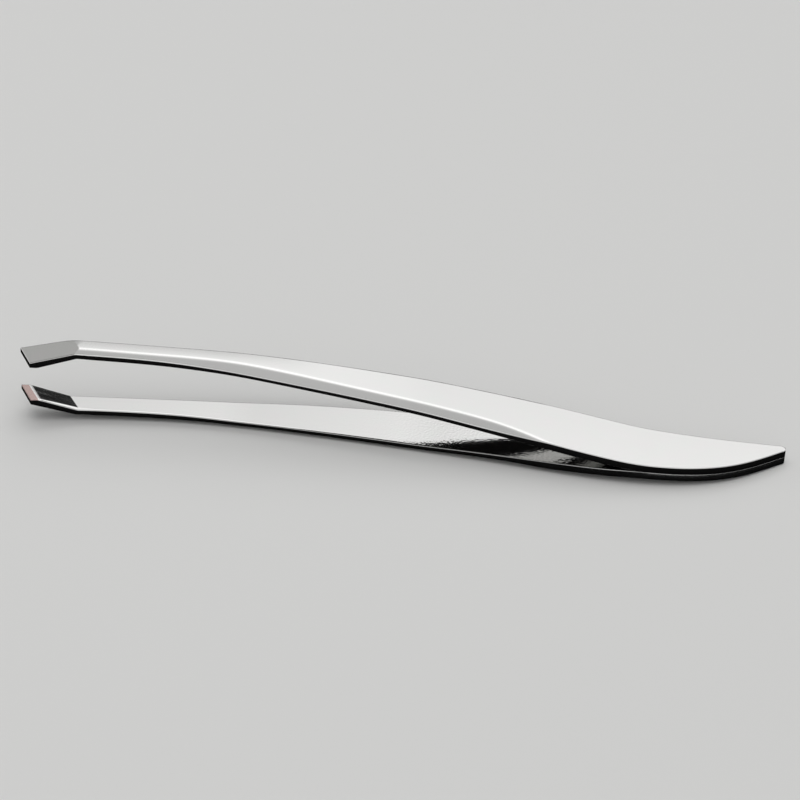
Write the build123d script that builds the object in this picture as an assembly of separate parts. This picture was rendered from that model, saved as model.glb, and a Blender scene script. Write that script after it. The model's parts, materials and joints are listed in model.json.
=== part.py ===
from build123d import *
import os
from math import asin, atan2, cos, degrees, hypot, radians, sin, sqrt, tan

# Slant tweezers: two mirrored strips of spring steel, spot welded face to face at the tail.
# Millimetres and degrees. The strips are drawn in the closing frame: X runs along the length
# with the tail's point at +X and the slanted tips at -X, Y runs across the strips, and the
# closing plane Z = 0 lies midway between them. The finished part is then laid on its rest.

# strip and overall length
THICKNESS = 1.0
TIP_X = -47.5
TAIL_X = 47.5

# side view of one strip: flat tail, a bend where the strips part, a straight splay, the middle
# stretch that the lower arm rests on and an almost straight front, with eased corners between
PART_X = 29.95
SPLAY_ANGLE = 4.75
MIDDLE_X = 3.0
FRONT_X = -20.2
FRONT_ANGLE = 1.13
BEND_RADIUS = 60.0
EASED_RADIUS = 150.0

# plan view: the strip is a slim curved blade that widens to a leaf-shaped tail
FAR_EDGE = [(-41.5, 1.9), (-28, 3.0), (-14, 3.85), (0, 3.7), (16, 2.5), (30, 0.75), (38, 0.1),
            (47.0, -0.05)]
NEAR_EDGE = [(-40, -0.95), (-28, -0.3), (-14, -1.2), (0, -2.85), (14, -4.95), (28, -6.95), (36, -6.65),
             (42, -4.7), (47.1, -1.25)]
TAIL_POINT = (TAIL_X, -0.5)
TIP_FAR_Y = 1.4
TIP_NEAR = (-45.65, -1.8)

# claw: bent towards the other strip along a slanted fold, and ground flat outside and at the land.
# Each of its two faces has its own slant and angle to the strip.
FOLD_X = -40.65
FOLD_Y = 0.7
INNER_SLANT = 34.0
INNER_CLAW_ANGLE = 17.8
OUTER_SLANT = 29.0
OUTER_CLAW_ANGLE = 15.5
CLAW_THICKNESS = 0.83

# ground bevel along the near outer edge and a short shoulder along the far one, both as the
# line where they leave the outer face
BEVEL_ANGLE = 15.0
BEVEL_LINE = [(-43, -0.3), (-40, 0.0), (-32, 0.55), (-22, 1.0), (-8, -0.35), (6, -2.25), (14, -3.85),
              (20, -6.3)]
SHOULDER_ANGLE = 40.0
SHOULDER_LINE = [(-43, 1.55), (-40, 1.78), (-28, 2.7), (-14, 3.4), (0, 3.27), (10, 2.8), (18, 2.15),
                 (26, 1.3)]

# flexure: each arm turns on the inner face of its strip, and closes until its land is this far
# from the closing plane
HINGE_X = 19.0
CLOSE_ANGLE = 2.13
LAND_CLEARANCE = 0.01

# spot welds between the two tails
WELD_XY = [(34.0, -3.3), (40.0, -2.8)]
WELD_DIAMETER = 2.6
NUGGET_HEIGHT = 0.7

# cutting shapes, all larger than what they cut: the side of a block, how far the side view's
# section runs past the ends and below the strip, the height of the blank, and how far a grinding
# wedge reaches past its line and above the face
BLOCK = 300.0
PAST_ENDS = 5.0
BELOW = 10.0
BLANK_HEIGHT = 10.0
WEDGE_REACH = 3.0
WEDGE_HEIGHT = 2.0


def along(angle):
    """Unit vector in XZ that points out of a strip which rises towards -X at this angle."""
    return sin(radians(angle)), cos(radians(angle))


def rest_angle():
    """Angle of the middle stretch, whose outer face is in line with the tail's outer end."""
    back = TAIL_X - MIDDLE_X
    rise = THICKNESS - MIDDLE_Z
    return degrees(asin(THICKNESS / hypot(back, rise)) - atan2(rise, back))


MIDDLE_Z = (PART_X - MIDDLE_X) * tan(radians(SPLAY_ANGLE))
REST_ANGLE = rest_angle()
FRONT_Z = MIDDLE_Z + (MIDDLE_X - FRONT_X) * tan(radians(REST_ANGLE))

# corners of the inner face in the side view: x, z, angle behind, angle ahead, radius
CORNERS = [
    (PART_X, 0.0, 0.0, SPLAY_ANGLE, BEND_RADIUS),
    (MIDDLE_X, MIDDLE_Z, SPLAY_ANGLE, REST_ANGLE, EASED_RADIUS),
    (FRONT_X, FRONT_Z, REST_ANGLE, FRONT_ANGLE, EASED_RADIUS),
]


def side_corner(corner, offset):
    """A corner moved outwards so that both of its lines shift by the offset, and its radius there."""
    x, z, behind, ahead, radius = corner
    out_x, out_z = along((behind + ahead) / 2)
    reach = offset / cos(radians((ahead - behind) / 2))
    turn = 1 if ahead > behind else -1
    return x + reach * out_x, z + reach * out_z, radius - turn * offset


def face_height(x, offset):
    """Height of the inner face (offset 0) or outer face (offset THICKNESS) of the plain bent strip."""
    height = offset
    for corner in CORNERS:
        corner_x, corner_z, radius = side_corner(corner, offset)
        behind, ahead = corner[2:4]
        turn = 1 if ahead > behind else -1
        out_x, out_z = along((behind + ahead) / 2)
        reach = turn * radius / cos(radians((ahead - behind) / 2))
        centre_x, centre_z = corner_x + reach * out_x, corner_z + reach * out_z
        if x < centre_x - turn * radius * along(behind)[0]:
            height = centre_z - turn * sqrt(max(radius ** 2 - (x - centre_x) ** 2, 0))
        if x < centre_x - turn * radius * along(ahead)[0]:
            height = corner_z + (corner_x - x) * tan(radians(ahead))
    return height


def under_face(offset):
    """Solid block from below the closing plane up to the inner or outer face of the strip."""
    start = (TAIL_X + PAST_ENDS, offset)
    end_x = TIP_X - PAST_ENDS
    end = (end_x, face_height(end_x, offset))
    turns = [side_corner(corner, offset) for corner in CORNERS]
    corners = [(x, z) for x, z, radius in turns]
    radii = [radius for x, z, radius in turns]
    top = FilletPolyline(start, *corners, end, radius=radii)
    floor = Polyline(end, (end_x, -BELOW), (TAIL_X + PAST_ENDS, -BELOW), start)
    section = make_face(Plane.XZ * (top + floor))
    return extrude(section, BLOCK / 2, both=True)


def outline_prism():
    """The flat blank, seen from above, as a tall prism."""
    tip_far = (TIP_X, TIP_FAR_Y)
    far = Spline(*FAR_EDGE)
    near = Spline(*reversed(NEAR_EDGE))
    point = ThreePointArc(FAR_EDGE[-1], TAIL_POINT, NEAR_EDGE[-1])
    claw = Polyline(NEAR_EDGE[0], TIP_NEAR, tip_far, FAR_EDGE[0])
    return extrude(make_face(far + point + near + claw), BLANK_HEIGHT)


def below_plane(x, y, z, normal):
    """Everything on the lower side of a plane."""
    plane = Plane(origin=(x, y, z), x_dir=(normal[2], 0, -normal[0]), z_dir=normal)
    return plane * Box(BLOCK, BLOCK, BLOCK, align=(Align.CENTER, Align.CENTER, Align.MAX))


def below_claw_face(slant, angle, offset):
    """Everything below a face of the claw, which lies this far outside the fold of the inner face."""
    normal = (
        -sin(radians(angle)) * cos(radians(slant)),
        -sin(radians(angle)) * sin(radians(slant)),
        cos(radians(angle)),
    )
    lift = offset / cos(radians(angle))
    return below_plane(FOLD_X, FOLD_Y, face_height(FOLD_X, 0) + lift, normal)


def below_land():
    """Everything below the gripping land, which lies on the closing plane once the arm closes."""
    hinge_z = face_height(HINGE_X, 0)
    turn = radians(CLOSE_ANGLE)
    land_z = hinge_z + (LAND_CLEARANCE - hinge_z) / cos(turn)
    return below_plane(HINGE_X, 0, land_z, (sin(turn), 0, cos(turn)))


def edge_cutter(line, side, angle):
    """Wedge that grinds the outer face down from a line towards the edge on this side."""
    drop = WEDGE_REACH * tan(radians(angle))
    sections = []
    for x, y in line:
        z = face_height(x, THICKNESS)
        low = (x, y + side * WEDGE_REACH, z - drop)
        high = (x, y + side * WEDGE_REACH, z + WEDGE_HEIGHT)
        top = (x, y, z + WEDGE_HEIGHT)
        sections.append(make_face(Polyline((x, y, z), low, high, top, close=True)))
    return loft(sections, ruled=True)


def strip():
    """One whole strip, above the closing plane: the upper arm and the upper tail in one."""
    body = outline_prism() & under_face(THICKNESS)
    body &= below_claw_face(OUTER_SLANT, OUTER_CLAW_ANGLE, CLAW_THICKNESS)
    body -= under_face(0) & below_claw_face(INNER_SLANT, INNER_CLAW_ANGLE, 0)
    body -= below_land()
    body -= edge_cutter(BEVEL_LINE, -1, BEVEL_ANGLE)
    body -= edge_cutter(SHOULDER_LINE, 1, SHOULDER_ANGLE)
    return body


def nuggets():
    """The two fused zones that hold the tails together, half in each strip."""
    return [Pos(x, y, 0) * Cylinder(WELD_DIAMETER / 2, NUGGET_HEIGHT) for x, y in WELD_XY]


def ahead_of_hinge():
    """Everything on the tips' side of the flexure."""
    return Pos(HINGE_X, 0, 0) * Box(BLOCK, BLOCK, BLOCK, align=(Align.MAX, Align.CENTER, Align.CENTER))


def build_parts():
    """All sub-parts by node name, in the closing frame."""
    upper = strip()
    tail = upper - ahead_of_hinge()
    arm = upper & ahead_of_hinge()
    for nugget in nuggets():
        tail -= nugget
    return {
        "upper_arm": arm,
        "upper_tail": tail,
        "lower_arm": mirror(arm, about=Plane.XY),
        "lower_tail": mirror(tail, about=Plane.XY),
        "spot_welds": Compound(children=nuggets()),
    }


def main():
    os.makedirs("parts", exist_ok=True)
    tilted = {name: Rot(0, REST_ANGLE, 0) * shape for name, shape in build_parts().items()}
    boxes = [shape.bounding_box() for shape in tilted.values()]
    centre_x = (min(b.min.X for b in boxes) + max(b.max.X for b in boxes)) / 2
    centre_y = (min(b.min.Y for b in boxes) + max(b.max.Y for b in boxes)) / 2
    to_rest = Pos(-centre_x, -centre_y, -min(b.min.Z for b in boxes))
    for name, shape in tilted.items():
        export_step(to_rest * shape, os.path.join("parts", name + ".step"))
    place = to_rest * Rot(0, REST_ANGLE, 0)
    hinge_z = face_height(HINGE_X, 0)
    print("rest angle", REST_ANGLE, "placed at", to_rest.position)
    for name, z in (("upper", hinge_z), ("lower", -hinge_z)):
        print(name, "hinge at", (place * Pos(HINGE_X, 0, z)).position)


main()
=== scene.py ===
import json
from math import asin, atan2, cos, degrees, hypot, radians, sin, tan

import bpy
import numpy as np
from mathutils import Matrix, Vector


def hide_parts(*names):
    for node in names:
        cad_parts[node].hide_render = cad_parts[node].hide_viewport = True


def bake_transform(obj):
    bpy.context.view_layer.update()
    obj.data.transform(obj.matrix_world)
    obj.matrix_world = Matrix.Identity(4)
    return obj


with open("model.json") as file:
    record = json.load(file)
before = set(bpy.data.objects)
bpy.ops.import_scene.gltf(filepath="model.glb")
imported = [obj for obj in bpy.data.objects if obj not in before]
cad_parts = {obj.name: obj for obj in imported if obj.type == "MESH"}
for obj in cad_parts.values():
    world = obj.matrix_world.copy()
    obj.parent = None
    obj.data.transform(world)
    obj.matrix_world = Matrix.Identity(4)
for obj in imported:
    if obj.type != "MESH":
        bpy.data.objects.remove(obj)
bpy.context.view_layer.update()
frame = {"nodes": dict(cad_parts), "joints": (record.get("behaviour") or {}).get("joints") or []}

# Slant tweezers: two mirrored strips of polished spring steel, spot welded at the tail.
# The strips are worked out in millimetres in the closing frame, where X runs along the length with
# the tail at +X, Y runs across with the far edge at +Y, and the plane Z = 0 lies midway between the
# strips. They are then laid on their rest and written in metres. Angles are in degrees. The studio
# and the camera are in metres from the start.

MM = 0.001

# strip and overall length
THICKNESS = 1.0
TIP_X = -47.5
TAIL_X = 47.5

# side view of one strip: flat tail, a bend where the strips part, a straight splay, the middle
# stretch that the lower arm rests on and an almost straight front, with eased corners between
PART_X = 29.95
SPLAY_ANGLE = 4.75
MIDDLE_X = 3.0
FRONT_X = -20.2
FRONT_ANGLE = 1.13
BEND_RADIUS = 60.0
EASED_RADIUS = 150.0

# plan view: the strip is a slim curved blade that widens to a leaf-shaped tail
FAR_EDGE = [(-41.5, 1.9), (-28, 3.0), (-14, 3.85), (0, 3.7), (16, 2.5), (30, 0.75), (38, 0.1),
            (47.0, -0.05)]
NEAR_EDGE = [(-40, -0.95), (-28, -0.3), (-14, -1.2), (0, -2.85), (14, -4.95), (28, -6.95),
             (36, -6.65), (42, -4.7), (47.1, -1.25)]
TAIL_POINT = (TAIL_X, -0.5)
TIP_FAR = (TIP_X, 1.4)
TIP_NEAR = (-45.65, -1.8)

# claw: bent towards the other strip along a slanted fold, and ground flat outside and at the land.
# Each of its two faces is the slant of its fold and its angle to the strip.
FOLD_X = -40.65
FOLD_Y = 0.7
INNER_CLAW = (34.0, 17.8)
OUTER_CLAW = (29.0, 15.5)
CLAW_THICKNESS = 0.83

# ground bevel along the near outer edge and shoulder along the far one, both as the line where they
# leave the outer face, and the slight crown between them, with the stretch over which it fades away
BEVEL_ANGLE = 15.0
BEVEL_LINE = [(-43, -0.3), (-40, 0.0), (-32, 0.55), (-22, 1.0), (-8, -0.35), (6, -2.25),
              (14, -3.85), (20, -6.3)]
SHOULDER_ANGLE = 40.0
SHOULDER_LINE = [(-43, 1.55), (-40, 1.78), (-28, 2.7), (-14, 3.4), (0, 3.27), (10, 2.8),
                 (18, 2.15), (26, 1.3)]
CROWN = 0.03
CROWN_FADES = (-24.0, -8.0)

# chamfer along the near inner edge: its angle to the arm's face and to the claw's, its width by X,
# the largest share of the strip's width that it takes, and the stretch over which it fades away
ARM_CHAMFER_ANGLE = 8.0
CLAW_CHAMFER_ANGLE = 20.0
CHAMFER_WIDTH = [(-46.0, 0.2), (-39.7, 0.44), (-37.5, 0.22), (0.0, 0.2), (8.0, 0.1), (30.0, 0.08)]
CHAMFER_SHARE = 0.15
CHAMFER_FADES = (25.0, 30.0)

# how softly the ground faces run into each other, as the difference in height within which they
# blend. The outer fold of the claw is rounder towards the far edge, so its blend goes by Y.
RIDGE_BLEND = 0.09
SHOULDER_BLEND = 0.04
INNER_FOLD_BLEND = 0.02
OUTER_FOLD_BLEND = [(0.7, 0.02), (1.8, 0.35)]
LAND_BLEND = 0.09
CHAMFER_BLEND = 0.06

# rounded edges: the radius outside, the radius inside by X, which is tight where the tails touch,
# and the largest share of the strip's width that they take. The tips' far corner is rounded in plan.
OUTER_EDGE_RADIUS = 0.12
INNER_EDGE_RADIUS = [(27.0, 0.07), (31.0, 0.012)]
EDGE_SHARE = 0.2
TIP_CORNER_RADIUS = 0.18

# burnished border of the gripping land, on both sides of the edge where the land meets the claw's
# inside, out to where their two planes are this far apart in height. Its steel is also painted nearly
# white, a painted highlight that shows the edge as a bright line
LAND_EDGE_HEIGHT = 0.058

# flexure: the hinge in the closing frame, the angle at which the lands meet, and how far each is
# from the closing plane then
HINGE_X = 19.0
HINGE_Y = -1.85
CLOSE_ANGLE = 2.13
LAND_CLEARANCE = 0.01

# studio, in metres: the floor, and just above it the black sheet that the steel reflects
GROUND_SIZE = 6
FLOOR_Z = -0.00004
CARD_Z = -0.00002
FLOOR_LIGHT_AT = (-0.1, 0.1, 0.8)
FLOOR_LIGHT_SIZE = 0.8
FLOOR_LIGHT_POWER = 2.3

# sky: its grey by the angle over the top from the far horizon (0) to the near one (180), and the
# share of it by how far to the side a direction points, from -1 to 1. Seen from the camera, the
# inside of the lower claw mirrors the dark band low on the far side, and the outer faces mirror the
# bright one above it.
SKY_STRENGTH = 1.35
SKY_STOPS = [(0, 0.45), (4, 0.4), (7, 0.03), (15, 0.006), (20, 0.03), (25, 0.42), (30, 0.6),
             (36, 0.77), (42, 0.98), (50, 1.0), (55, 0.75), (60, 0.5), (65, 0.38), (75, 0.3),
             (90, 0.32), (105, 0.7), (125, 0.7), (140, 0.5), (160, 0.6), (180, 0.45)]
SIDE_STOPS = [(-1, 0.9), (-0.85, 0.8), (-0.65, 0.36), (-0.37, 0.34), (-0.2, 0.7), (-0.12, 0.84),
              (-0.03, 1.0), (0.064, 0.9), (0.15, 0.95), (0.3, 1.0), (0.6, 0.6), (0.85, 0.8), (1, 0.9)]

# camera: height angle, turn towards the tail, distance and target in metres, lens in millimetres
CAMERA_ELEVATION = 35
CAMERA_TURN = 6
CAMERA_DISTANCE = 0.3756
CAMERA_TARGET = (-0.000165, 0.00495, 0.0030)
CAMERA_LENS = 136.2
CAMERA_SENSOR = 36.0
CAMERA_CLIP_START = 0.01


# ---------------------------------------------------------------- curves

def slope(angle):
    return tan(radians(angle))


def along(angle):
    """Unit vector in XZ that points out of a strip which rises towards -X at this angle."""
    return sin(radians(angle)), cos(radians(angle))


def between(at, stops):
    """Value at a place, on straight lines between (place, value) stops and level beyond them."""
    return np.interp(at, [stop[0] for stop in stops], [stop[1] for stop in stops])


def fade(x, span):
    """1 before the span, 0 after it, smooth between."""
    t = np.clip((x - span[0]) / (span[1] - span[0]), 0, 1)
    return 1 - t * t * (3 - 2 * t)


def soft_min(a, b, depth):
    """The lower of two heights, with the crease between them rounded off by up to depth / 4."""
    overlap = np.maximum(depth - np.abs(a - b), 0) / depth
    return np.minimum(a, b) - overlap ** 2 * depth / 4


def soft_max(a, b, depth):
    """The higher of two heights, with the crease between them rounded off."""
    return -soft_min(-a, -b, depth)


def spline(points):
    """Smooth curve y(x) through the points: a natural cubic, straight beyond its ends."""
    x, y = np.array(points, float).T
    step = np.diff(x)
    grade = np.diff(y) / step
    size = len(x)
    matrix = np.eye(size)
    right = np.zeros(size)
    for i in range(1, size - 1):
        matrix[i, i - 1:i + 2] = step[i - 1], 2 * (step[i - 1] + step[i]), step[i]
        right[i] = 6 * (grade[i] - grade[i - 1])
    bend = np.linalg.solve(matrix, right)
    start_grade = grade[0] - step[0] * bend[1] / 6
    end_grade = grade[-1] + step[-1] * bend[-2] / 6

    def curve(at):
        at = np.asarray(at, float)
        i = np.clip(np.searchsorted(x, at) - 1, 0, size - 2)
        a, b, h = x[i + 1] - at, at - x[i], step[i]
        inside = (bend[i] * a ** 3 + bend[i + 1] * b ** 3) / (6 * h)
        inside += (y[i] / h - bend[i] * h / 6) * a + (y[i + 1] / h - bend[i + 1] * h / 6) * b
        before = y[0] + start_grade * (at - x[0])
        after = y[-1] + end_grade * (at - x[-1])
        return np.where(at < x[0], before, np.where(at > x[-1], after, inside))
    return curve


def circle_through(a, b, c):
    """Centre and radius of the circle through three points."""
    matrix = 2 * np.array([np.subtract(b, a), np.subtract(c, a)], float)
    right = [np.dot(b, b) - np.dot(a, a), np.dot(c, c) - np.dot(a, a)]
    centre = np.linalg.solve(matrix, right)
    return centre, float(np.linalg.norm(centre - np.array(a)))


# ---------------------------------------------------------------- shape of one strip

far_curve = spline(FAR_EDGE)
near_curve = spline(NEAR_EDGE)
bevel_curve = spline(BEVEL_LINE)
shoulder_curve = spline(SHOULDER_LINE)
TAIL_CENTRE, TAIL_RADIUS = circle_through(FAR_EDGE[-1], TAIL_POINT, NEAR_EDGE[-1])


def edge_y(x, side):
    """Y of the blank's far (+1) or near (-1) edge at x, with its straight claw and round tail."""
    far = (far_curve, FAR_EDGE, TIP_FAR)
    near = (near_curve, NEAR_EDGE, TIP_NEAR)
    curve, points, tip = far if side > 0 else near
    claw = between(x, [tip, points[0]])
    rise = np.sqrt(np.maximum(TAIL_RADIUS ** 2 - (x - TAIL_CENTRE[0]) ** 2, 0))
    rounded = TAIL_CENTRE[1] + side * rise
    return np.where(x < points[0][0], claw, np.where(x > points[-1][0], rounded, curve(x)))


def rest_angle():
    """Angle of the middle stretch, whose outer face is in line with the tail's outer end."""
    back = TAIL_X - MIDDLE_X
    rise = THICKNESS - MIDDLE_Z
    return degrees(asin(THICKNESS / hypot(back, rise)) - atan2(rise, back))


MIDDLE_Z = (PART_X - MIDDLE_X) * slope(SPLAY_ANGLE)
REST_ANGLE = rest_angle()
FRONT_Z = MIDDLE_Z + (MIDDLE_X - FRONT_X) * slope(REST_ANGLE)

# corners of the inner face in the side view: x, z, angle behind, angle ahead, radius
CORNERS = [
    (PART_X, 0.0, 0.0, SPLAY_ANGLE, BEND_RADIUS),
    (MIDDLE_X, MIDDLE_Z, SPLAY_ANGLE, REST_ANGLE, EASED_RADIUS),
    (FRONT_X, FRONT_Z, REST_ANGLE, FRONT_ANGLE, EASED_RADIUS),
]


def face_height(x, offset):
    """Height of the inner face (offset 0) or outer face (offset THICKNESS) of the plain bent strip."""
    x = np.asarray(x, float)
    height = np.full(x.shape, float(offset))
    for corner_x, corner_z, behind, ahead, radius in CORNERS:
        turn = 1 if ahead > behind else -1
        out_x, out_z = along((behind + ahead) / 2)
        half = cos(radians((ahead - behind) / 2))
        corner_x, corner_z = corner_x + offset / half * out_x, corner_z + offset / half * out_z
        radius = radius - turn * offset
        centre_x = corner_x + turn * radius / half * out_x
        centre_z = corner_z + turn * radius / half * out_z
        arc = centre_z - turn * np.sqrt(np.maximum(radius ** 2 - (x - centre_x) ** 2, 0))
        height = np.where(x < centre_x - turn * radius * along(behind)[0], arc, height)
        straight = corner_z + (corner_x - x) * slope(ahead)
        height = np.where(x < centre_x - turn * radius * along(ahead)[0], straight, height)
    return height


def past_fold(x, y, slant):
    """Distance past a fold line with this slant, positive towards the tail."""
    return (x - FOLD_X) * cos(radians(slant)) + (y - FOLD_Y) * sin(radians(slant))


def claw_plane(x, y, face, offset):
    """Height of a face of the claw, which lies this far outside the fold of the inner face."""
    slant, angle = face
    lift = offset / cos(radians(angle))
    return face_height(FOLD_X, 0) + lift + past_fold(x, y, slant) * slope(angle)


def land_plane(x):
    """Height of the gripping land, which lies along the closing plane once the arm closes."""
    hinge_z = face_height(HINGE_X, 0)
    turn = radians(CLOSE_ANGLE)
    return hinge_z + (LAND_CLEARANCE - hinge_z) / cos(turn) + (HINGE_X - x) * tan(turn)


def ground_height(x, y):
    """Ground outer side of the strip without its claw: the face with its crown, bevel and shoulder."""
    face = face_height(x, THICKNESS)
    past_ridge = np.maximum(y - bevel_curve(x), 0)
    crowned = face - CROWN * fade(x, CROWN_FADES) * past_ridge ** 2 / 2
    bevel = face + (y - bevel_curve(x)) * slope(BEVEL_ANGLE)
    shoulder = face - (y - shoulder_curve(x)) * slope(SHOULDER_ANGLE)
    shoulder = np.where(x < SHOULDER_LINE[-1][0], shoulder, np.inf)
    ground = soft_min(crowned, bevel, RIDGE_BLEND)
    return soft_min(ground, shoulder, SHOULDER_BLEND)


def outer_height(x, y):
    """The whole outer side, with the claw's flat, whose fold is rounder towards the far edge."""
    claw = claw_plane(x, y, OUTER_CLAW, CLAW_THICKNESS)
    return soft_min(ground_height(x, y), claw, between(y, OUTER_FOLD_BLEND))


def inner_height(x, y, into_chamfer):
    """Inner side: the face and the claw's inner face, both with the near edge's chamfer, and the land.

    into_chamfer is the distance from the chamfer's inner border, 0 outside the chamfer.
    """
    face = face_height(x, 0) + into_chamfer * slope(ARM_CHAMFER_ANGLE)
    claw = claw_plane(x, y, INNER_CLAW, 0) + into_chamfer * slope(CLAW_CHAMFER_ANGLE)
    return soft_max(soft_min(face, claw, INNER_FOLD_BLEND), land_plane(x), LAND_BLEND)


# ---------------------------------------------------------------- grid of one strip

# angles of the points on a rounded edge, and how many radii from the edge the next point lies
ROUNDING_ANGLES = (0, 22.5, 45, 67.5, 90)
FLAT_STEP = 1.3

# lines across the strip: the far edge's X at the end of each stretch and the distance between the
# lines in it, then the round tail, from the end of the far edge to the last line's angle
TAIL_ROUND_X = FAR_EDGE[-1][0]
STRETCHES = [(-42.7, 0.1), (-39.9, 0.07), (-36.0, 0.2), (44.0, 0.4), (TAIL_ROUND_X, 0.15)]
TAIL_FROM_ANGLE = degrees(atan2(FAR_EDGE[-1][1] - TAIL_CENTRE[1], TAIL_ROUND_X - TAIL_CENTRE[0]))
TAIL_TO_ANGLE = 9
TAIL_LINES = 14

# how far the lines lean along X for each step across, by X: as the tips, the land's edge and the
# claw's fold do, and straight across further back
TIP_SKEW = (TIP_NEAR[0] - TIP_FAR[0]) / (TIP_FAR[1] - TIP_NEAR[1])
FOLD_SKEW = slope(INNER_CLAW[0])
CLAW_GRADE = slope(INNER_CLAW[1])
LAND_SKEW = (CLAW_GRADE * sin(radians(INNER_CLAW[0]))
             / (slope(CLOSE_ANGLE) + CLAW_GRADE * cos(radians(INNER_CLAW[0]))))
LINE_SKEW = [(TIP_X, TIP_SKEW), (-46.8, LAND_SKEW), (-45.4, LAND_SKEW), (-43.0, FOLD_SKEW),
             (-39.0, FOLD_SKEW), (-34.0, 0.75 * FOLD_SKEW), (-27.0, 0.25 * FOLD_SKEW), (-22.0, 0.0)]

# points on each line: how far the close ones reach to either side of the ridge and the shoulder,
# the smallest gap as a share of the width, and the cells in the chamfer, the bevel, the ridge, the
# face, the shoulder and the edge
RIDGE_REACH = 0.36
SHOULDER_REACH = 0.12
SMALLEST_GAP = 0.04
CELLS_ACROSS = (6, 3, 8, 9, 5, 3)

# rounds of the search for where a line meets a curve, which settles well before the last
SEARCH_ROUNDS = 20


def rounding_steps(radius):
    """Distances from an edge at which a quarter-round of this radius is drawn."""
    return [radius * (1 - cos(radians(a))) for a in ROUNDING_ANGLES]


def edge_drop(distance, radius):
    """How far a quarter-round lowers the face at this distance from the edge."""
    inset = np.clip(radius - distance, 0, radius)
    return radius - np.sqrt(radius ** 2 - inset ** 2)


def station_positions():
    """Far-edge X of the lines that cross the strip, closer together where the shape turns."""
    stations = [TIP_X + d for d in rounding_steps(OUTER_EDGE_RADIUS)]
    start = TIP_X + FLAT_STEP * OUTER_EDGE_RADIUS
    for end, step in STRETCHES:
        stations.extend(np.linspace(start, end, round((end - start) / step), endpoint=False))
        start = end
    tail_angles = np.radians(np.linspace(TAIL_FROM_ANGLE, TAIL_TO_ANGLE, TAIL_LINES))
    stations.extend(TAIL_CENTRE[0] + TAIL_RADIUS * np.cos(tail_angles))
    return np.array(stations)


def cross_lines():
    """Far and near end of each line, slanted at the claw and straight across further back."""
    far_x = station_positions()
    skew = between(far_x, LINE_SKEW)
    far = np.stack([far_x, edge_y(far_x, 1)], 1)
    near_x = far_x.copy()
    for _ in range(SEARCH_ROUNDS):
        near_x = far_x + skew * (far[:, 1] - edge_y(near_x, -1))
    near = np.stack([near_x, edge_y(near_x, -1)], 1)
    inset = edge_drop(far_x - TIP_X, TIP_CORNER_RADIUS)[:, None]
    inward = (near - far) / np.linalg.norm(near - far, axis=1)[:, None]
    return far + inset * inward, near


def crossing(curve, far, near):
    """Distance from the near edge, along each line, to where the line meets a curve y(x)."""
    t = np.full(len(far), 0.5)
    for _ in range(SEARCH_ROUNDS):
        x = near[:, 0] + t * (far[:, 0] - near[:, 0])
        t = (curve(x) - near[:, 1]) / (far[:, 1] - near[:, 1])
    return t * np.linalg.norm(far - near, axis=1)


def column_distances(far, near):
    """Distances from the near edge of the points on each line, gathered where the section turns."""
    width = np.linalg.norm(far - near, axis=1)
    radius = np.minimum(OUTER_EDGE_RADIUS, EDGE_SHARE * width)
    gap = SMALLEST_GAP * width
    past_bevel = near[:, 0] > BEVEL_LINE[-1][0] + 1
    ridge = np.where(past_bevel, 0, crossing(bevel_curve, far, near))
    shoulder = crossing(shoulder_curve, far, near)
    first = FLAT_STEP * radius
    last = width - first
    chamfer = np.minimum(between(near[:, 0], CHAMFER_WIDTH), CHAMFER_SHARE * width)
    chamfer_end = first + chamfer
    ridge_low = np.maximum(ridge - RIDGE_REACH, chamfer_end + gap)
    ridge_high = np.maximum(ridge + RIDGE_REACH, ridge_low + 3 * gap)
    shoulder_high = np.minimum(shoulder + SHOULDER_REACH, last - gap)
    shoulder_low = np.minimum(shoulder - SHOULDER_REACH, shoulder_high - 2 * gap)
    shoulder_low = np.maximum(shoulder_low, ridge_high + 3 * gap)
    shoulder_high = np.maximum(shoulder_high, shoulder_low + gap)
    stops = [first, chamfer_end, ridge_low, ridge_high, shoulder_low, shoulder_high, last]
    quarter = np.array(rounding_steps(1.0))[:, None]
    columns = [quarter * radius]
    for start, end, count in zip(stops, stops[1:], CELLS_ACROSS):
        share = np.arange(count)[:, None] / count
        columns.append(start + share * (end - start))
    columns.append(last[None])
    columns.append(width - quarter[::-1] * radius)
    return np.concatenate(columns).T, width


def outline_distance(points, far, near):
    """Distance of each point from the strip's outline, which the ends of the lines follow."""
    ring = np.concatenate([far, near[::-1]])
    run = np.roll(ring, -1, axis=0) - ring
    best = np.full(len(points), np.inf)
    for start, step in zip(ring, run):
        t = np.clip(((points - start) @ step) / max(step @ step, 1e-12), 0, 1)
        best = np.minimum(best, np.hypot(*(points - start - t[:, None] * step).T))
    return best


def strip_grid():
    """Plan points (lines x columns x 2), outer and inner heights, and UV in millimetres."""
    far, near = cross_lines()
    distance, width = column_distances(far, near)
    width = width[:, None]
    share = distance / width
    plan = near[:, None] + share[..., None] * (far - near)[:, None]
    x, y = plan[..., 0], plan[..., 1]
    rim = outline_distance(plan.reshape(-1, 2), far, near).reshape(x.shape)
    outer_radius = np.minimum(OUTER_EDGE_RADIUS, EDGE_SHARE * width)
    inner_radius = np.minimum(between(x, INNER_EDGE_RADIUS), EDGE_SHARE * width)
    chamfer = np.minimum(between(x, CHAMFER_WIDTH), CHAMFER_SHARE * width)
    into_chamfer = soft_max(chamfer - rim, 0.0, CHAMFER_BLEND) * fade(x, CHAMFER_FADES)
    near_half = share < 0.5
    top = outer_height(x, y) - edge_drop(rim, outer_radius)
    bottom = inner_height(x, y, np.where(near_half, into_chamfer, 0)) + edge_drop(rim, inner_radius)
    uv = np.stack([x, (share - 0.5) * width], -1)
    return plan, top, bottom, uv


# ---------------------------------------------------------------- placing and mesh building

def joint_position(name):
    return np.array(next(j for j in frame["joints"] if j["name"] == name)["pos_m"], float)


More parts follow.
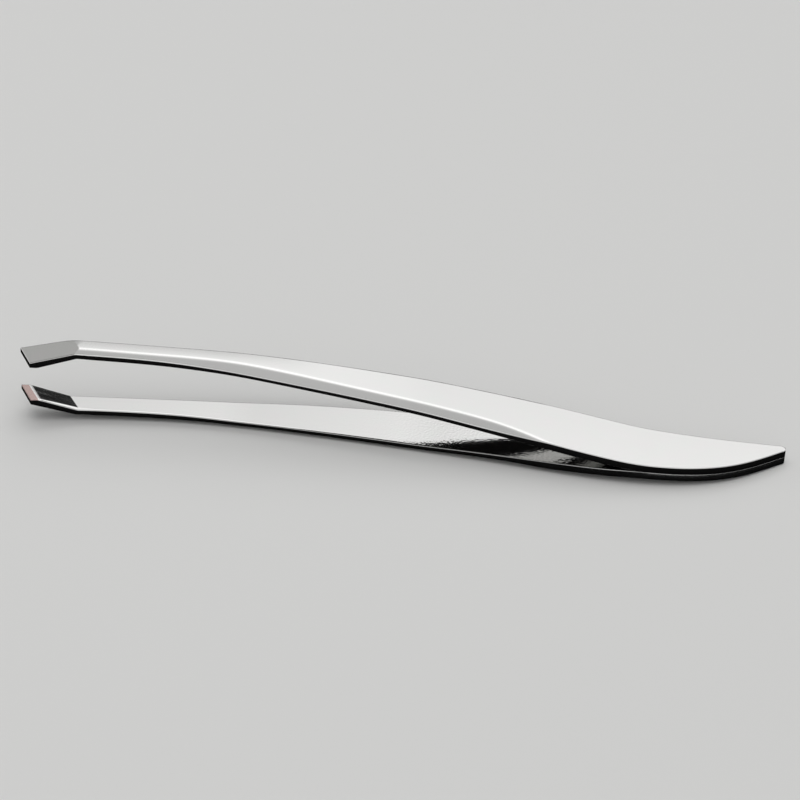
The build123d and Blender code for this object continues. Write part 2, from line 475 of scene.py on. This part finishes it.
TILT = radians(REST_ANGLE)
MID_HINGE = (joint_position("upper_arm_flex") + joint_position("lower_arm_flex")) / 2


def placed(x, y, z):
    """Points of the closing frame, in millimetres, as points of the row frame in metres."""
    x = np.asarray(x, float) - HINGE_X
    turned = [x * cos(TILT) + z * sin(TILT), y - HINGE_Y, -x * sin(TILT) + z * cos(TILT)]
    return np.stack(np.broadcast_arrays(*turned), -1) * MM + MID_HINGE


# the surfaces of a strip, each with its own material
OUTER, INNER, WALL, CLAW, LAND, CLAW_INSIDE, LAND_EDGE = range(7)


def cell_middles(values):
    """Mean of the four corner values of each cell of a grid."""
    return (values[1:, 1:] + values[:-1, 1:] + values[1:, :-1] + values[:-1, :-1]) / 4


def cell_surfaces(plan):
    """Which surface each cell of the outer and of the inner side belongs to."""
    x, y = cell_middles(plan[..., 0]), cell_middles(plan[..., 1])
    flat = claw_plane(x, y, OUTER_CLAW, CLAW_THICKNESS)
    outside = np.where(ground_height(x, y) > flat, CLAW, OUTER)
    face, claw = face_height(x, 0), claw_plane(x, y, INNER_CLAW, 0)
    land_above = land_plane(x) - np.minimum(face, claw)
    inside = np.where(claw < face, CLAW_INSIDE, INNER)
    # the border where the land meets the claw's inside gets the nearly white steel, a painted highlight
    inside = np.where(land_above > -LAND_EDGE_HEIGHT, LAND_EDGE, inside)
    inside = np.where(land_above > LAND_EDGE_HEIGHT, LAND, inside)
    return outside, inside


def closed_faces(outside, inside):
    """Quads of a closed strip and the surface of each, from the surfaces of its grids' cells.

    The points of the outer side come first, line by line, and those of the inner side after them.
    """
    cell_rows, cell_columns = outside.shape
    columns = cell_columns + 1
    below = (cell_rows + 1) * columns
    last = cell_rows * columns
    faces, surfaces = [], []

    def add(quad, surface):
        faces.append(quad)
        surfaces.append(surface)

    for i in range(cell_rows):
        near_a, near_b = i * columns, (i + 1) * columns
        for j in range(cell_columns):
            a, b = near_a + j, near_b + j
            add((a, b, b + 1, a + 1), int(outside[i, j]))
            add((below + a, below + a + 1, below + b + 1, below + b), int(inside[i, j]))
        far_a, far_b = near_a + cell_columns, near_b + cell_columns
        add((near_a, below + near_a, below + near_b, near_b), WALL)
        add((far_a, far_b, below + far_b, below + far_a), WALL)
    for j in range(cell_columns):
        add((j, j + 1, below + j + 1, below + j), WALL)
        add((last + j, below + last + j, below + last + j + 1, last + j + 1), WALL)
    return faces, surfaces


def strip_piece(name, side, materials):
    """One strip as a closed mesh: +1 is the upper strip and -1 the lower one, its mirror image."""
    plan, top, bottom, uv = strip_grid()
    x, y = plan[..., 0], plan[..., 1]
    outer_side = placed(x, y, side * top).reshape(-1, 3)
    inner_side = placed(x, y, side * bottom).reshape(-1, 3)
    points = np.concatenate([outer_side, inner_side])
    faces, face_surfaces = closed_faces(*cell_surfaces(plan))
    if side < 0:
        faces = [quad[::-1] for quad in faces]
    mesh = bpy.data.meshes.new(name)
    mesh.from_pydata(points.tolist(), [], faces)
    for material in materials:
        mesh.materials.append(material)
    mesh.polygons.foreach_set("material_index", face_surfaces)
    mesh.polygons.foreach_set("use_smooth", [True] * len(faces))
    corner = np.empty(len(mesh.loops), np.int32)
    mesh.loops.foreach_get("vertex_index", corner)
    layer = mesh.uv_layers.new(name="Length")
    flat_uv = np.concatenate([uv.reshape(-1, 2)] * 2)
    layer.data.foreach_set("uv", flat_uv[corner].ravel())
    mesh.update()
    piece = bpy.data.objects.new(name, mesh)
    bpy.context.scene.collection.objects.link(piece)
    return piece


# ---------------------------------------------------------------- shader nodes

def node(tree, kind, inputs=None, **settings):
    """A node with its settings and input values; an input may be another node's output socket."""
    made = tree.nodes.new(kind)
    for key, value in settings.items():
        setattr(made, key, value)
    for key, value in (inputs or {}).items():
        if isinstance(value, bpy.types.NodeSocket):
            tree.links.new(value, made.inputs[key])
        else:
            made.inputs[key].default_value = value
    return made


def calculated(tree, operation, a, b):
    """Result of a calculation with two values."""
    return node(tree, "ShaderNodeMath", {0: a, 1: b}, operation=operation).outputs["Value"]


def noise(tree, where, scale, detail, roughness=0.5):
    """A 0 to 1 noise over the given coordinates."""
    inputs = {"Vector": where, "Scale": scale, "Detail": detail, "Roughness": roughness}
    return node(tree, "ShaderNodeTexNoise", inputs).outputs["Fac"]


def scaled(tree, value, low, high):
    """A 0 to 1 value spread over a new range."""
    made = node(tree, "ShaderNodeMapRange", {"Value": value, "To Min": low, "To Max": high})
    return made.outputs["Result"]


def position_in(tree, value, low, high):
    """How far a value is from low (0) to high (1), and no further."""
    made = node(tree, "ShaderNodeMapRange", {"Value": value, "From Min": low, "From Max": high})
    return made.outputs["Result"]


def ramp(tree, source, stops):
    """A colour ramp with (position, grey) stops."""
    made = node(tree, "ShaderNodeValToRGB", {"Fac": source})
    while len(made.color_ramp.elements) < len(stops):
        made.color_ramp.elements.new(1.0)
    for element, (position, grey) in zip(made.color_ramp.elements, stops):
        element.position = position
        element.color = (grey, grey, grey, 1)
    return made.outputs["Color"]


def colour_mix(tree, share, first, second, blend_type="MIX"):
    """Two colours mixed by share; each is red, green, blue and 1, or another node's output."""
    made = node(tree, "ShaderNodeMix", {"Factor": share, "A": first, "B": second},
                data_type="RGBA", blend_type=blend_type)
    return made.outputs["Result"]


def relief(tree, height, depth, base=None):
    """Normal of a surface with this height map, its depth in millimetres, on top of a base normal."""
    inputs = {"Height": height, "Strength": 1.0, "Distance": depth * MM}
    if base:
        inputs["Normal"] = base
    return node(tree, "ShaderNodeBump", inputs).outputs["Normal"]


def new_material(name):
    """A material, its node tree and its shader."""
    material = bpy.data.materials.new(name)
    material.use_nodes = True
    return material, material.node_tree, material.node_tree.nodes["Principled BSDF"]


# ---------------------------------------------------------------- materials

# how fine the steel's patterns are, in noise cells to a millimetre: along a grinding line, in the
# clouds of the polish and in its ripple
ALONG_LINE = 0.12
CLOUD_SCALE = 0.35
RIPPLE_SCALE = 3.2


def steel(name, colour, roughness, lines, line_depth, across=False, tint=0.04, ripple=0.0, fade_in=None):
    """Ground and polished stainless steel. The grinding lines run along the strip, or across it.

    lines is how many there are to a millimetre. The depths of the lines and of the polish's fine
    ripple are in millimetres, and tint is the share by which the lines darken the colour. Where the
    ripple fades in, it grows from the first to the second X of fade_in.
    """
    material, tree, shader = new_material(name)
    shader.inputs["Metallic"].default_value = 1.0
    where = node(tree, "ShaderNodeUVMap", uv_map="Length").outputs["UV"]
    cells = (lines, ALONG_LINE, 1) if across else (ALONG_LINE, lines, 1)
    grain_at = node(tree, "ShaderNodeMapping", {"Vector": where, "Scale": cells}).outputs["Vector"]
    grain = noise(tree, grain_at, scale=1.0, detail=3.0, roughness=0.6)
    cloud = noise(tree, where, CLOUD_SCALE, detail=2.0)
    wear = node(tree, "ShaderNodeMix", {"Factor": 0.5, "A": grain, "B": cloud}, data_type="FLOAT")
    dull = scaled(tree, wear.outputs["Result"], roughness * 0.75, roughness * 1.25)
    tree.links.new(dull, shader.inputs["Roughness"])
    red, green, blue = colour
    clouded = colour_mix(tree, cloud, (red * 1.015, green * 0.985, blue, 1),
                         (red * 0.985, green * 1.01, blue * 0.99, 1))
    darkest = (1 - tint, 1 - tint, 1 - tint, 1)
    lined = colour_mix(tree, grain, clouded, darkest, blend_type="MULTIPLY")
    tree.links.new(lined, shader.inputs["Base Color"])
    normal = relief(tree, grain, line_depth)
    if ripple:
        waves = noise(tree, where, RIPPLE_SCALE, detail=0.6)
        if fade_in:
            length = node(tree, "ShaderNodeSeparateXYZ", {"Vector": where}).outputs["X"]
            waves = calculated(tree, "MULTIPLY", waves, position_in(tree, length, *fade_in))
        normal = relief(tree, waves, ripple, normal)
    tree.links.new(normal, shader.inputs["Normal"])
    return material


def strip_materials():
    """In the order of OUTER, INNER, WALL, CLAW, LAND, CLAW_INSIDE and LAND_EDGE."""
    return [
        steel("polished_outer_face", (0.87, 0.87, 0.86), roughness=0.15, lines=9.0, line_depth=0.0005),
        steel("polished_inner_face", (0.83, 0.83, 0.82), roughness=0.07, lines=6.0, line_depth=0.0015,
              ripple=0.011, fade_in=(-6.0, 7.0)),
        steel("ground_side", (0.78, 0.78, 0.77), roughness=0.2, lines=12.0, line_depth=0.0008),
        steel("ground_claw_face", (0.84, 0.84, 0.82), roughness=0.16, lines=8.0, line_depth=0.0006,
              across=True, tint=0.1),
        steel("ground_grip_land", (0.66, 0.5, 0.47), roughness=0.25, lines=10.0, line_depth=0.0012,
              across=True, tint=0.12, ripple=0.006),
        steel("scratched_claw_inside", (0.8, 0.8, 0.79), roughness=0.07, lines=4.0, line_depth=0.012,
              tint=0.1, ripple=0.004),
        # painted highlight: the land's border is nearly white steel, brighter than the faces beside it,
        # so that its edge shows as a bright line; it is also rougher, as burnished
        steel("land_edge_burnish_and_painted_highlight", (0.97, 0.97, 0.96), roughness=0.25, lines=8.0, line_depth=0.0004),
    ]


def weld_material():
    """Dull fused steel, mottled by the weld's heat."""
    material, tree, shader = new_material("fused_steel")
    shader.inputs["Metallic"].default_value = 1.0
    where = node(tree, "ShaderNodeTexCoord").outputs["Object"]
    mottle = noise(tree, where, scale=1500.0, detail=4.0)
    shade = colour_mix(tree, mottle, (0.42, 0.38, 0.33, 1), (0.62, 0.61, 0.59, 1))
    tree.links.new(shade, shader.inputs["Base Color"])
    tree.links.new(scaled(tree, mottle, 0.35, 0.6), shader.inputs["Roughness"])
    tree.links.new(relief(tree, mottle, depth=0.02), shader.inputs["Normal"])
    return material


def matte_material(name, colour, roughness, specular):
    """A plain even surface for the studio."""
    material, tree, shader = new_material(name)
    shader.inputs["Base Color"].default_value = (*colour, 1)
    shader.inputs["Roughness"].default_value = roughness
    shader.inputs["Specular IOR Level"].default_value = specular
    return material


# ---------------------------------------------------------------- floor, light and camera

def ground_plane(name, height, material):
    """A large level plane."""
    bpy.ops.mesh.primitive_plane_add(size=GROUND_SIZE, location=(0, 0, height))
    plane = bpy.context.object
    plane.name = name
    plane.data.materials.append(material)
    return plane


def studio_floor():
    pale = matte_material("pale_floor", (0.78, 0.78, 0.77), roughness=0.9, specular=0.1)
    floor = ground_plane("floor", FLOOR_Z, pale)


def dark_card():
    """A black sheet on the floor that only the steel's reflections see, as a studio flag."""
    black = matte_material("black_card", (0.004, 0.004, 0.004), roughness=1.0, specular=0.0)
    card = ground_plane("dark_card", CARD_Z, black)
    card.visible_camera = False
    card.visible_diffuse = False
    card.visible_shadow = False
    card.visible_transmission = False


def floor_light():
    """Large soft light from above for the floor alone, kept out of the steel's reflections."""
    data = bpy.data.lights.new("floor_light", "AREA")
    data.shape = "SQUARE"
    data.size = FLOOR_LIGHT_SIZE
    data.energy = FLOOR_LIGHT_POWER
    made = bpy.data.objects.new("floor_light", data)
    made.location = FLOOR_LIGHT_AT
    made.rotation_euler = Vector(FLOOR_LIGHT_AT).to_track_quat("Z", "Y").to_euler()
    made.visible_glossy = False
    made.visible_camera = False
    bpy.context.scene.collection.objects.link(made)


def studio_sky():
    """Soft light all round, as the stops of the sky say."""
    world = bpy.data.worlds.new("studio")
    bpy.context.scene.world = world
    world.use_nodes = True
    tree = world.node_tree
    background = tree.nodes["Background"]
    direction = node(tree, "ShaderNodeTexCoord").outputs["Generated"]
    parts = node(tree, "ShaderNodeSeparateXYZ", {"Vector": direction}).outputs
    # angle of the direction above the far horizon, measured over the top: 0 far, 180 near
    over = calculated(tree, "ARCTAN2", parts["Z"], parts["Y"])
    half_turns = calculated(tree, "DIVIDE", over, radians(180))
    level = ramp(tree, half_turns, [(angle / 180, grey) for angle, grey in SKY_STOPS])
    side = position_in(tree, parts["X"], -1.0, 1.0)
    side_share = ramp(tree, side, [((x + 1) / 2, grey) for x, grey in SIDE_STOPS])
    light = node(tree, "ShaderNodeVectorMath", {0: level, 1: side_share}, operation="MULTIPLY")
    tree.links.new(light.outputs["Vector"], background.inputs["Color"])
    background.inputs["Strength"].default_value = SKY_STRENGTH


def camera():
    elevation, turn = radians(CAMERA_ELEVATION), radians(CAMERA_TURN)
    back = Vector((sin(turn) * cos(elevation), -cos(turn) * cos(elevation), sin(elevation)))
    data = bpy.data.cameras.new("camera")
    data.lens = CAMERA_LENS
    data.sensor_width = CAMERA_SENSOR
    data.clip_start = CAMERA_CLIP_START
    made = bpy.data.objects.new("camera", data)
    made.location = Vector(CAMERA_TARGET) + back * CAMERA_DISTANCE
    made.rotation_euler = (-back).to_track_quat("-Z", "Y").to_euler()
    bpy.context.scene.collection.objects.link(made)
    bpy.context.scene.camera = made


# ---------------------------------------------------------------- the object

bpy.context.scene.view_settings.view_transform = "Standard"
studio_floor()
floor_light()
dark_card()
studio_sky()
camera()

materials = strip_materials()
for label, side in (("upper", 1), ("lower", -1)):
    strip = strip_piece(label + "_strip", side, materials)
    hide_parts(label + "_arm", label + "_tail")
    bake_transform(strip)

welds = frame["nodes"]["spot_welds"]
welds.data.materials.clear()
welds.data.materials.append(weld_material())
